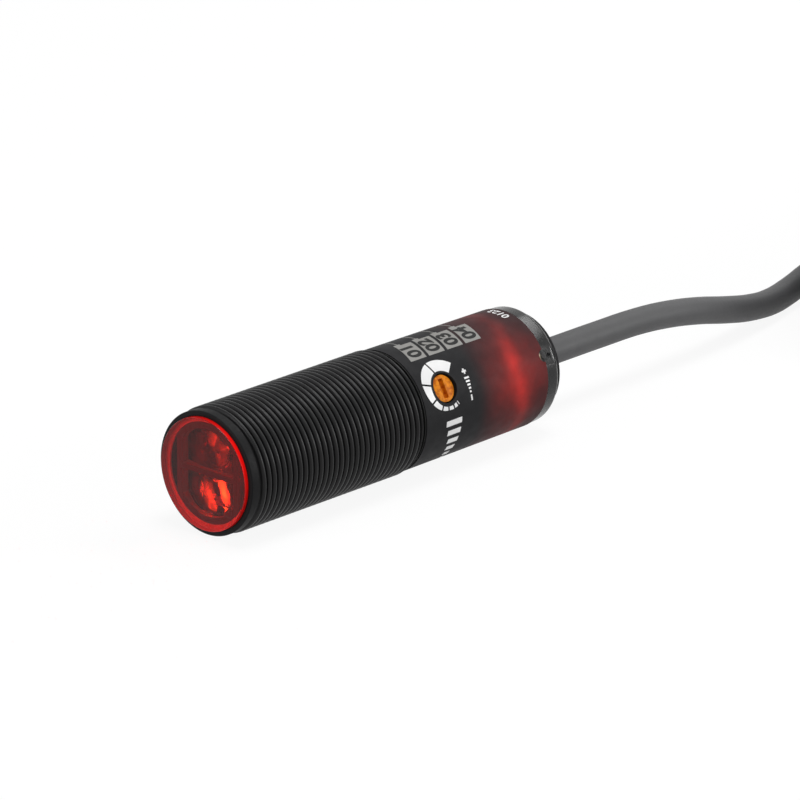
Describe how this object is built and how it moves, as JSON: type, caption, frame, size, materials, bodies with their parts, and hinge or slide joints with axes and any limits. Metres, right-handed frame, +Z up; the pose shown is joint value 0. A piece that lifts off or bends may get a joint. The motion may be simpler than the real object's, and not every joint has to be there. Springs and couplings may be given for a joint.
{
  "type": "photoelectric sensor",
  "caption": "Cylindrical photoelectric sensor with a threaded black barrel, red sensing window, clear rear sleeve with a sensitivity adjuster and a bundled supply cable.",
  "frame": {"origin": "on the floor below the middle of the sensor's body, cable left out", "axes": "+Y from the sensing window to the cable end along the barrel, +Z up, +X to the right seen from the window looking along +Y"},
  "size_m": [0.0457, 0.2376, 0.02],
  "materials": {
    "red_window": "deep red filter plastic, polished",
    "clear_silicone": "translucent silicone",
    "black_plastic": "satin black moulded plastic",
    "grey_plastic": "matt dark grey moulded plastic",
    "clear_lens": "clear moulded plastic",
    "chip_black": "moulded package",
    "led_red": "red lamp",
    "led_green": "green lamp",
    "board_green": "solder mask",
    "tinned_metal": "tinned",
    "capacitor_yellow": "moulded package",
    "ceramic_tan": "ceramic chip",
    "trimmer_blue": "moulded package",
    "adjuster_orange": "moulded orange plastic",
    "black_rubber": "smooth rubber",
    "clear_sleeve": "clear moulded plastic",
    "label_print": "satin printed film",
    "cable_grey": "grey PVC sheath",
    "core_brown": "PVC insulation",
    "core_blue": "PVC insulation",
    "core_black": "PVC insulation",
    "core_white": "PVC insulation",
    "tie_white": "natural nylon"
  },
  "bodies": {
    "sensor": {"front_window": "red_window", "window_seal": "clear_silicone", "front_ring": "black_plastic", "threaded_barrel": "black_plastic", "lens_holder": "grey_plastic", "receiver_lens": "clear_lens", "emitter_lens": "clear_lens", "receiver_photodiode": "chip_black", "emitter_led": "led_red", "optics_board": "board_green", "amplifier_chip": "chip_black", "amplifier_shield": "tinned_metal", "main_board": "board_green", "logic_chip": "chip_black", "output_transistor": "chip_black", "protection_diode": "chip_black", "smoothing_capacitor": "capacitor_yellow", "board_resistors": "chip_black", "board_capacitors": "ceramic_tan", "operation_lamp": "led_red", "stability_lamp": "led_green", "trimmer_base": "trimmer_blue", "rear_sleeve": "clear_sleeve", "sleeve_seal": "black_rubber", "label_film": "label_print", "rear_plug": "black_plastic", "cable_bush": "black_rubber", "cable_clamp": "tinned_metal", "cable_tail": "cable_grey", "lead_brown": "core_brown", "lead_blue": "core_blue", "lead_black": "core_black", "lead_white": "core_white", "supply_cable": "cable_grey", "cable_hank": "cable_grey", "cable_tie": "tie_white", "core_brown": "core_brown", "core_blue": "core_blue", "core_black": "core_black", "core_white": "core_white", "core_tips": "tinned_metal"},
    "adjuster": {"sensitivity_adjuster": "adjuster_orange", "adjuster_seal": "black_rubber"}
  },
  "joints": [
    {"name": "sensitivity_turn", "type": "hinge", "parent": "sensor", "child": "adjuster", "pos_m": [0, 0.0079, 0.009], "axis": [0.8788, 0, 0.4772], "range_deg": [-130, 130]}
  ]
}
